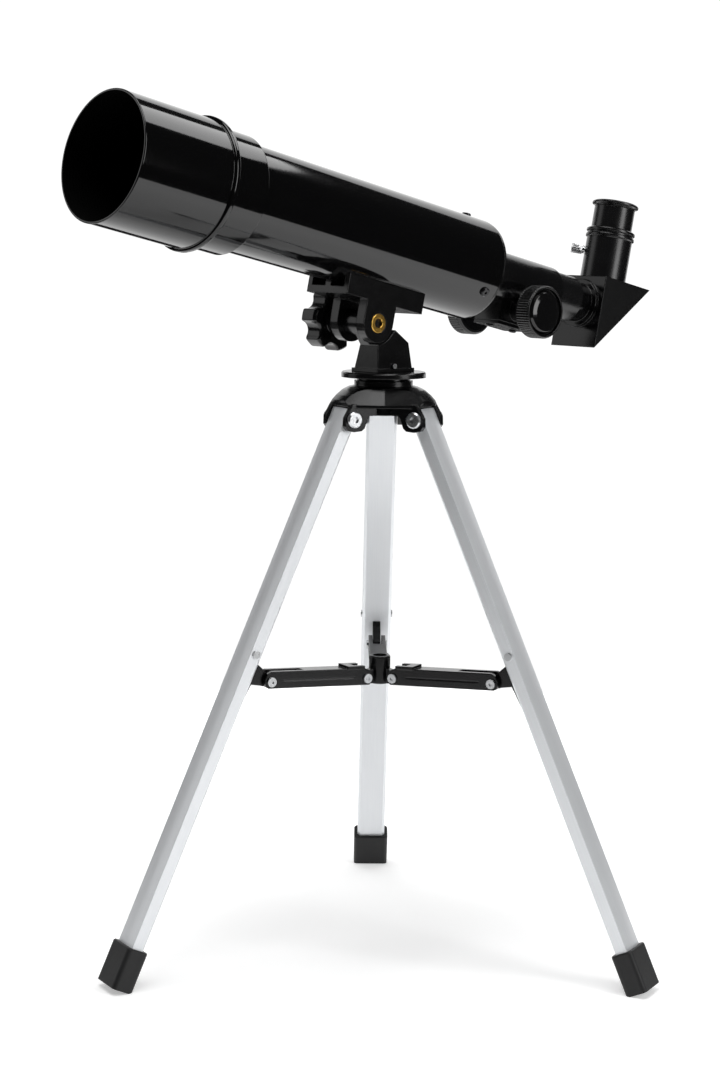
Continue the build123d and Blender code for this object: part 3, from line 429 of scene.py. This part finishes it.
enamel, plastic, gloss, satin = black_enamel(), turned_plastic(), gloss_plastic(), satin_plastic()
matt, rubber, steel, dark_steel = flat_black(), foot_rubber(), plated_steel(), blackened_steel()
chrome, brass, glass, silvered = bright_chrome(), turned_brass(), coated_glass(), first_surface_mirror()
diagonal_finish, leg_finish = diagonal_plastic(), [leg_aluminium(k) for k in range(3)]
DARK_SCREWS = ("tube_screws", "pinion_cover_screws", "saddle_screws", "azimuth_bolt",
               "altitude_bolt")
BY_SLOT = {"aluminium": leg_finish[0], "satin_black": satin, "textured_black": satin, "gloss_black": gloss,
           "black_paint": gloss, "flat_black": matt, "rubber": rubber, "steel": steel, "chrome": chrome,
           "brass": brass, "glass": glass, "mirror": silvered}


def finish_of(name, slot):
    """The finish of a CAD node, from its record's slot, apart from the legs, dark screws and diagonal."""
    if name.startswith("leg_") and name[-1].isdigit() and "bracket" not in name:
        return leg_finish[int(name[-1]) - 1]
    if name in DARK_SCREWS:
        return dark_steel
    return diagonal_finish if name == "diagonal_body" else BY_SLOT[slot]


for row in frame["record"]["subparts"]:
    part = nodes[row["node"]]
    for socket in part.material_slots:
        socket.material = finish_of(row["node"], row["material_slot"])


def fit(piece, body, slot, stands_for, *materials):
    """Gives a new piece its materials and the body it moves with, and hides the CAD node it stands for."""
    for material in materials:
        piece.data.materials.append(material)
    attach(piece, body)
    if stands_for:
        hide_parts(stands_for)
    return piece


# ---- Optical tube -------------------------------------------------------------------
def make_tube():
    """A straight tube: a four-cornered wall turned about the optical axis, matt inside."""
    corners = [(-80.8, 29.0, 0.2), (-80.8, 30.4, 0.9), (127.0, 30.4, 0.3), (127.0, 29.0, 0.2)]
    piece = turned_ring("tube_shell", corners, AXIS, ALONG, ABOVE, 256, inner=(3,))
    fit(piece, "telescope", "black_paint", "main_tube", enamel, matt)


def make_cell():
    """The lens cell: a stepped wall turned about the optical axis, with a cone in front of the lens."""
    corners = [(109.8, 30.45, 0.15), (109.8, 33.6, 0.75), (150.0, 33.6, 0.8), (150.0, 31.0, 0.4),
               (144.5, 26.7, 0.4), (129.5, 26.7, 0.2), (129.5, 25.2, 0.2), (127.1, 25.2, 0.2),
               (127.1, 30.45, 0.1)]
    piece = turned_ring("cell_ring", corners, AXIS, ALONG, ABOVE, 224, inner=(3, 4, 5, 6))
    fit(piece, "telescope", "gloss_black", "lens_cell", enamel, matt)


def make_shield():
    """The bead is a half-round rib at the rear; glare threads run round the inside."""
    inside = []
    for k in range(20):
        x = 194.0 - 2.0 * k
        inside += [(x, 34.5, 0.15), (x - 1.0, 34.85, 0.15)]
    corners = [(133.0, 33.66, 0.2), (133.0, 37.5, 1.3), (136.2, 37.5, 1.2), (136.9, 36.0, 0.35),
               (196.5, 36.0, 0.6), (196.5, 34.5, 0.3)] + inside + [(153.0, 34.5, 0.3), (151.5, 33.66, 0.2)]
    inner = tuple(range(5, 5 + len(inside) + 2))
    piece = turned_ring("shield_sleeve", corners, AXIS, ALONG, ABOVE, 256, inner=inner)
    fit(piece, "dew_shield", "gloss_black", "dew_shield", enamel, matt)


def make_draw_tube():
    """The draw tube: a four-cornered wall turned about the optical axis, matt inside."""
    corners = [(-171.3, 12.35, 0.25), (-171.3, 14.5, 0.45), (-70.0, 14.5, 0.3), (-70.0, 12.35, 0.2)]
    piece = turned_ring("draw_sleeve", corners, AXIS, ALONG, ABOVE, 160, inner=(3,))
    fit(piece, "draw_tube", "gloss_black", "draw_tube", plastic, matt)


# ---- Focusing wheels ----------------------------------------------------------------
def ribbed(count, depth, low, high):
    """Radius less depth times a rounded groove, 0.5 - 0.9 cos(count phi) kept within 0 and 1, on the
    profile points between low and high along the axis."""
    def radius_of(profile, phi):
        groove = np.clip(0.5 - 0.95 * np.cos(count * phi), 0, 1)
        along = profile[:, 0:1]
        ends = np.clip(np.minimum(along - low, high - along) / 0.5, 0, 1)
        outer = profile[:, 1:2] > profile[:, 1].max() - 0.6
        return profile[:, 1:2] - depth * groove[None, :] * ends * outer
    return radius_of


def make_focus_wheel(name, stands_for, side):
    """A wheel with ribs on its rim, and a groove in its outer face round a raised middle."""
    corners = [(22.5, 0.0, 0), (22.5, 6.0, 0.3), (24.0, 14.8, 0.8), (25.1, 16.0, 0.5)]
    corners += [(x, 16.0, 0) for x in (25.7, 26.4, 30.0, 33.2, 33.8)]
    corners += [(34.0, 16.0, 0.5), (35.0, 15.0, 0.5), (35.0, 14.2, 0.35), (32.6, 13.8, 0.3),
                (32.6, 12.9, 0.2), (33.8, 12.8, 0.6), (35.2, 11.6, 1.0), (36.0, 8.8, 3.0), (36.0, 0.0, 0)]
    piece = turned_solid(name, corners, PINION, side * ASIDE, ALONG, 576, ribbed(64, 0.5, 25.4, 34.3))
    fit(piece, "focus_knobs", "satin_black", stands_for, wheel)


def lobed(count, outer, scallop, far, ease):
    """r(phi): a circle cut by round scallops whose centres are far from the axis, smoothed over
    ease degrees; each profile point keeps its own distance from that outline."""
    def radius_of(profile, phi):
        fine = np.arange(7200) * 2 * math.pi / 7200
        nearest = (fine * count / (2 * math.pi)) % 1.0 - 0.5
        angle = nearest * 2 * math.pi / count
        under = scallop ** 2 - (far * np.sin(angle)) ** 2
        cut = np.where(under > 0, far * np.cos(angle) - np.sqrt(np.maximum(under, 0)), outer)
        outline = np.minimum(outer, cut)
        width = int(ease * 20)
        window = np.hanning(width)
        padded = np.concatenate([outline[-width:], outline, outline[:width]])
        outline = np.convolve(padded, window / window.sum(), "same")[width:-width]
        at = np.interp(phi, fine, outline, period=2 * math.pi)
        full = np.clip((profile[:, 1:2] - 9.5) / (outer - 9.5), 0, 1) ** 0.6
        return profile[:, 1:2] * (1 - full) + (profile[:, 1:2] - outer + at) * full
    return radius_of


def make_altitude_knob():
    """A six-lobed hand knob: crowned lobes, a shallow round recess outside, a neck inside."""
    corners = [(37.0, 0.0, 0), (37.0, 8.0, 0.35), (38.2, 8.7, 0.35), (38.2, 12.0, 0),
               (38.2, 17.8, 2.3), (25.4, 17.8, 2.0), (25.4, 8.4, 0.5), (20.7, 8.4, 0.4), (20.7, 0.0, 0)]
    piece = turned_solid("altitude_grip", corners, BOLT, -ASIDE, ALONG, 432, lobed(6, 17.8, 6.2, 19.8, 7))
    fit(piece, "altitude_knob", "satin_black", "altitude_knob", grip)


# ---- Eyepiece end -------------------------------------------------------------------
def make_holder():
    """The eyepiece holder: a turned tube with two beads below its mouth."""
    corners = [(18.0, 12.35, 0.1), (18.0, 14.6, 0.1), (44.6, 14.6, 0.25)]
    for start in (45.0, 48.4):
        corners += [(start, 14.8, 0.2), (start + 0.5, 15.6, 0.5), (start + 1.9, 15.6, 0.5),
                    (start + 2.4, 14.8, 0.2)]
    corners += [(51.0, 14.5, 0.2), (51.0, 12.35, 0.25)]
    piece = turned_ring("holder_tube", corners, HOLDER, ABOVE, ALONG, 176)
    fit(piece, "diagonal", "gloss_black", "eyepiece_holder", plastic)


def make_eyepiece():
    """The eyepiece: a turned barrel with a step, and a flanged cup that narrows to the eye lens."""
    barrel = [(24.0, 10.8, 0.15), (24.0, 12.3, 0.4), (51.1, 12.3, 0.1), (51.1, 13.0, 0.3),
              (65.0, 13.0, 0.3), (65.0, 10.8, 0.1)]
    piece = turned_ring("eyepiece_tube", barrel, HOLDER, ABOVE, ALONG, 160)
    fit(piece, "eyepiece", "black_paint", "eyepiece_barrel", plastic)
    cup = [(65.05, 8.4, 0.1), (65.05, 13.0, 0.2), (66.0, 13.2, 0.5), (66.7, 14.9, 0.45), (67.8, 14.9, 0.4),
           (68.6, 13.9, 0.5), (68.6, 11.8, 0.4), (66.0, 6.6, 0.5), (66.0, 5.4, 0.2), (61.8, 5.4, 0.2),
           (61.8, 8.4, 0.2)]
    piece = turned_ring("eyecup_rim", cup, HOLDER, ABOVE, ALONG, 160, inner=(6, 7, 8))
    fit(piece, "eyepiece", "gloss_black", "eyecup", plastic, matt)


def make_thumbscrew():
    """A knurled head on a short neck, square to the holder, 45 degrees round from the lens side."""
    turn = math.radians(-45)
    out = math.cos(turn) * ALONG + math.sin(turn) * ASIDE
    corners = [(12.6, 0.0, 0), (12.6, 1.45, 0.3), (15.0, 1.45, 0.05), (15.0, 2.6, 0.2), (16.2, 2.6, 0.1),
               (16.2, 3.0, 0.25), (16.7, 3.0, 0), (19.0, 3.0, 0), (22.8, 3.0, 0),
               (23.4, 2.95, 0.35), (23.4, 0.0, 0)]
    piece = turned_solid("thumbscrew_turned", corners, HOLDER + 36.0 * ABOVE, out, ABOVE, 192,
                         ribbed(24, 0.26, 16.3, 23.1))
    fit(piece, "thumbscrew", "chrome", "eyepiece_thumbscrew", chrome)


def make_brass_insert():
    """A turned bush in the saddle's near ear."""
    corners = [(3.6, 3.05, 0.1), (3.6, 5.6, 0.15), (10.4, 5.6, 0.5), (10.4, 2.7, 0.4), (8.75, 2.7, 0.1),
               (8.75, 3.05, 0.1)]
    piece = turned_ring("insert_bush", corners, BOLT, ASIDE, ALONG, 128)
    fit(piece, "telescope", "brass", "brass_insert", brass)


wheel = wheel_plastic()
grip = satin_plastic("grip_plastic", 0.2)
for make in (make_tube, make_cell, make_shield, make_draw_tube, make_altitude_knob, make_holder,
             make_eyepiece, make_thumbscrew, make_brass_insert):
    make()
make_focus_wheel("focus_wheel_near", "focus_knob_near", 1)
make_focus_wheel("focus_wheel_far", "focus_knob_far", -1)


# ---- Floor, light and camera --------------------------------------------------------
FLOOR_STEPS, FLOOR_RINGS = 128, (300.0, 750.0)
GLOW_REACH, GLOW_MIDDLE, GLOW_EDGE = 500.0, 0.17, 0.8       # how the table's own light rises outwards


def make_floor():
    """A round white table top, 1.5 m across, as two rings of points round a middle point."""
    phi = np.arange(FLOOR_STEPS) * 2 * math.pi / FLOOR_STEPS
    rings = np.array(FLOOR_RINGS)
    grid = np.stack([rings[:, None] * np.cos(phi), rings[:, None] * np.sin(phi), 0 * rings[:, None] * phi], -1)
    points = np.concatenate([grid.reshape(-1, 3), [(0, 0, 0)]])
    j = np.arange(FLOOR_STEPS)
    middle = np.stack([np.full(FLOOR_STEPS, 2 * FLOOR_STEPS), j, (j + 1) % FLOOR_STEPS], -1)
    floor = skin("table_top", points, [woven(2, FLOOR_STEPS, False)[:, ::-1], middle])
    f = Finish("white_table", (0.90, 0.90, 0.90), 0.8, Emission_Strength=1.0)
    x, y = f.along((1, 0, 0)), f.along((0, 1, 0))
    far = f.maths("SMOOTH_MIN", f.maths("SQRT", x * x + y * y) / GLOW_REACH, 1.0, 0.1)
    glow = f.node("ShaderNodeMix", {"data_type": "RGBA"}, _0=far, _6=(*[GLOW_MIDDLE] * 3, 1.0),
                  _7=(*[GLOW_EDGE] * 3, 1.0))
    f.feed(f.shader.inputs["Emission Color"], glow.outputs[2])
    floor.data.materials.append(f.done())


def softbox(name, place, target, width, height, radiance):
    """A soft area light that faces target; its power is radiance times pi times its area."""
    lamp = bpy.data.lights.new(name, "AREA")
    lamp.shape, lamp.size, lamp.size_y = "RECTANGLE", width, height
    lamp.energy = radiance * math.pi * width * height
    box = bpy.data.objects.new(name, lamp)
    box.location = place
    box.rotation_euler = (Vector(target) - Vector(place)).to_track_quat("-Z", "Y").to_euler()
    box.visible_camera = False
    bpy.context.scene.collection.objects.link(box)


def around_view(angle, distance, height):
    """A place round the object, angle degrees to the right of the camera's side."""
    a = math.radians(46.94 + angle)
    return (distance * math.cos(a), distance * math.sin(a), height)


def make_light():
    """Five softboxes, and a world that is white to the camera and nearly dark to everything else."""
    middle = (0.0, 0.0, 0.40)
    softbox("key_right", around_view(60, 1.5, 0.85), middle, 0.62, 1.3, 4.9)
    softbox("fill_left", around_view(-95, 1.7, 0.9), middle, 0.9, 1.4, 1.0)
    softbox("overhead", (0.32, 0.10, 1.8), middle, 1.1, 1.2, 4.6)
    softbox("rear_top", (-1.08, 0.05, 1.60), (0.15, 0.0, 0.45), 0.9, 0.35, 3.4)
    softbox("backdrop", around_view(180, 1.6, 0.75), middle, 3.0, 1.5, 1.2)
    world = bpy.data.worlds.new("studio")
    bpy.context.scene.world = world
    world.use_nodes = True
    tree = world.node_tree
    tree.nodes.clear()
    seen, rest = tree.nodes.new("ShaderNodeBackground"), tree.nodes.new("ShaderNodeBackground")
    seen.inputs["Strength"].default_value = 1.05
    seen.inputs["Color"].default_value = (1, 1, 1, 1)
    rest.inputs["Strength"].default_value = 0.025
    rest.inputs["Color"].default_value = (1, 1, 1, 1)
    rays, mix = tree.nodes.new("ShaderNodeLightPath"), tree.nodes.new("ShaderNodeMixShader")
    out = tree.nodes.new("ShaderNodeOutputWorld")
    tree.links.new(rays.outputs["Is Camera Ray"], mix.inputs[0])
    tree.links.new(rest.outputs[0], mix.inputs[1])
    tree.links.new(seen.outputs[0], mix.inputs[2])
    tree.links.new(mix.outputs[0], out.inputs[0])


def make_camera():
    """The camera's place and turn, from its right and up directions."""
    lens = bpy.data.cameras.new("camera")
    lens.sensor_fit, lens.sensor_width, lens.lens = "HORIZONTAL", 36.0, 111.11
    camera = bpy.data.objects.new("camera", lens)
    right = Vector((-0.738359, 0.674296, 0.012266))
    up = Vector((-0.086174, -0.112369, 0.989923))
    back = right.cross(up)
    turn = Matrix((right, up, back)).transposed().to_4x4()
    camera.matrix_world = Matrix.Translation((0.88624, 0.94840, 0.43072)) @ turn
    bpy.context.scene.collection.objects.link(camera)
    bpy.context.scene.camera = camera


make_floor()
make_light()
make_camera()
bpy.context.scene.view_settings.view_transform = "Standard"
